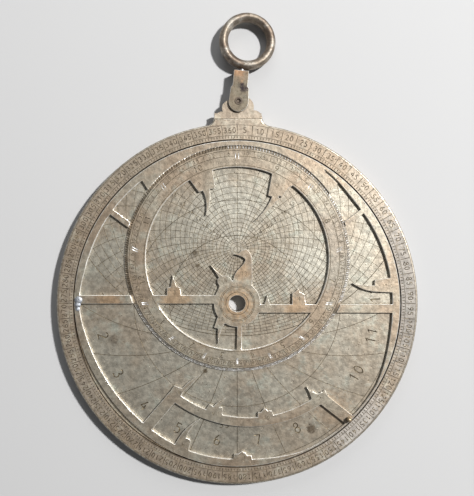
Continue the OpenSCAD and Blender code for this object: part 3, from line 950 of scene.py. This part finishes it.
def bevel_ticks(face):
    """A tick for each degree on the sloping edge; on the left, where the slope faces away from the light,
    they take the dark engraving as painted shade, elsewhere the pale one.
    """
    radii = (bevel_in_r + 0.25 * MM, ecliptic_r - 0.1 * MM)
    sinks = [(r - bevel_in_r) / bevel_width * bevel_drop for r in radii]
    for longitude in range(360):
        ends = [on_ecliptic(longitude, r) for r in radii]
        if crosses_bar(ends[0]):
            continue
        # painted shade: the ticks where the slope faces away from the light are cut dark
        shaded_side = 95 < ecliptic_bearing(*ends[0]) % 360 < 205
        points = [(*p, sink) for p, sink in zip(ends, sinks)]
        face.line(points, 0.3 * MM, "a" if shaded_side else "pale_a", depth=0.2 * MM)


def crosses_bar(point):
    """True where the east and west bars run over the ecliptic's sloping edge."""
    x, y = point
    return (x < 0 and -0.6 * MM < y < 4.6 * MM) or (x > 0 and -5.0 * MM < y < 0.6 * MM)


def pointer_numbers(face):
    """Each star pointer's base carries its number."""
    bases = [(-18.2, 58.0, 25), (19.6, 57.0, -25), (-30.4, 5.4, 0), (30.0, 2.2, 0), (71.5, 9.0, -90),
             (-26.4, -68.2, 20), (3.2, -74.8, 0), (-28.0, -43.0, 35), (-11.5, -53.4, 10),
             (14.2, -55.2, -8), (39.4, -45.4, -40), (-8.0, -7.6, 0), (3.2, 14.6, 0), (-6.4, 10.8, 30)]
    for number, (x, y, turn) in enumerate(bases, 1):
        write_number(face, number, (x * MM, y * MM), 1.9 * MM, turn, 0.2 * MM, ("f", "g"))


def on_rete(x, y):
    """True well inside the rete's broad ecliptic band, or inside the top web."""
    band = ecliptic_in_r + 0.8 * MM < math.hypot(x, y - ecliptic_y) < bevel_in_r - 0.8 * MM
    web = 66 * MM < math.hypot(x, y) < 74 * MM and 60 < math.degrees(math.atan2(y, x)) < 120
    return band or web


def on_long_arc(m):
    """True on the upper edges that years of handling have rounded most."""
    arcs = ((0, rim_r), (0, rim_in_r), (ecliptic_y, ecliptic_in_r))
    on_an_arc = any(abs(math.hypot(m.x, m.y - cy) - r) < 0.03 * MM for cy, r in arcs)
    return on_an_arc and m.z > rete_top - 0.05 * MM


def build_rete():
    # the rete's upright walls take the near-white edge metal, partly a painted highlight for walls that
    # face the light
    solid = solid_copy("rete", 0.15 * MM, (0.3 * MM, 2, on_long_arc), clamp=False, walls=EDGE)
    rete = coated(solid, rete_brass, rubbed_edge_and_highlight)
    engrave(rete, rete_face(), scattered_pits(11, 60, on_rete))
    finish_piece(rete, "rete_engraved", "rete", "rete", "rete")


# ---------- suspension and small pieces ----------

def dent(piece, amount, size, seed):
    """Moves the surface in and out by noise, the way hammered and worn metal is never true."""
    mesh = piece.data
    moved = []
    for v in mesh.vertices:
        lump = noise.noise(v.co / size + Vector((seed, seed, seed)))
        moved.append(v.co - v.normal * amount * (0.5 + 0.5 * lump))
    for v, co in zip(mesh.vertices, moved):
        v.co = co


def build_shackle():
    shackle = coated(solid_copy("shackle", 0.3 * MM), shackle_brass, rubbed_edge_and_highlight)
    finish_piece(shackle, "shackle_worn", "shackle", "suspension", "shackle")


def build_ring():
    ring = coated(solid_copy("hanging_ring", 0.2 * MM, flatten=False), ring_brass, ring_brass)
    dent(ring, 0.2 * MM, 2.6 * MM, 4.0)
    finish_piece(ring, "hanging_ring_worn", "ring", "suspension", "hanging_ring")


def coat_node(node, material):
    """Gives a material to a CAD node that keeps its own shape."""
    for slot in nodes[node].material_slots:
        slot.link = "OBJECT"
        slot.material = material


build_limb()
build_back()
build_plate("one", 35, 3, 6, 140)
build_plate("two", 32, 6, 10, 40)
build_plate("three", 30, 6, 10, 40)
build_plate("four", 25, 6, 10, 40)
build_rete()
build_shackle()
build_ring()
coat_node("limb_rivets", rivet_brass)
coat_node("plate_key", rivet_brass)
coat_node("rete_knob", rivet_brass)
coat_node("rete_solder", solder)
coat_node("shackle_rivet", dark_rivet)
coat_node("ring_pin", steel)


# ---------- stage, lights, camera ----------

def plain_floor():
    bpy.ops.mesh.primitive_plane_add(size=4.0, location=(0, 0, -0.02 * MM))
    floor = bpy.context.object
    floor.name = "floor"
    paper = bpy.data.materials.new("Pale_floor")
    paper.use_nodes = True
    shader = paper.node_tree.nodes["Principled BSDF"]
    shader.inputs["Base Color"].default_value = (0.46, 0.46, 0.46, 1)
    shader.inputs["Roughness"].default_value = 0.85
    floor.data.materials.append(paper)


def soft_light(name, azimuth, elevation, distance, size, power, colour=(1, 1, 1)):
    """A square lamp aimed at the middle of the disc; azimuth anticlockwise from +X."""
    lamp = bpy.data.lights.new(name, "AREA")
    lamp.size = size
    lamp.energy = power
    lamp.color = colour
    holder = bpy.data.objects.new(name, lamp)
    a, e = math.radians(azimuth), math.radians(elevation)
    away = Vector((math.cos(a) * math.cos(e), math.sin(a) * math.cos(e), math.sin(e)))
    holder.location = away * distance
    holder.rotation_mode = "QUATERNION"
    holder.rotation_quaternion = away.to_track_quat("Z", "Y")
    bpy.context.scene.collection.objects.link(holder)


def add_camera():
    """Straight above the disc, as someone looks down on it lying on a table."""
    view_height = 240 * MM
    view_x, view_y = -0.1 * MM, 26.9 * MM
    camera = bpy.data.cameras.new("camera")
    camera.lens = 50
    camera.sensor_width = 36
    camera.clip_start = 0.01
    holder = bpy.data.objects.new("camera", camera)
    distance = view_height / camera.sensor_width * camera.lens
    holder.location = (view_x, view_y, limb_top + distance)
    bpy.context.scene.collection.objects.link(holder)
    bpy.context.scene.camera = holder


def add_world(strength):
    world = bpy.data.worlds.new("studio")
    world.use_nodes = True
    background = world.node_tree.nodes["Background"]
    background.inputs["Color"].default_value = (0.93, 0.96, 1.0, 1)
    background.inputs["Strength"].default_value = strength
    bpy.context.scene.world = world


plain_floor()
soft_light("key", 31, 53, 1.7, 0.12, 46, (1.0, 0.995, 0.99))
soft_light("top_fill", 95, 35, 0.9, 0.5, 1.8)
add_world(0.14)
add_camera()
bpy.context.scene.view_settings.view_transform = "Standard"
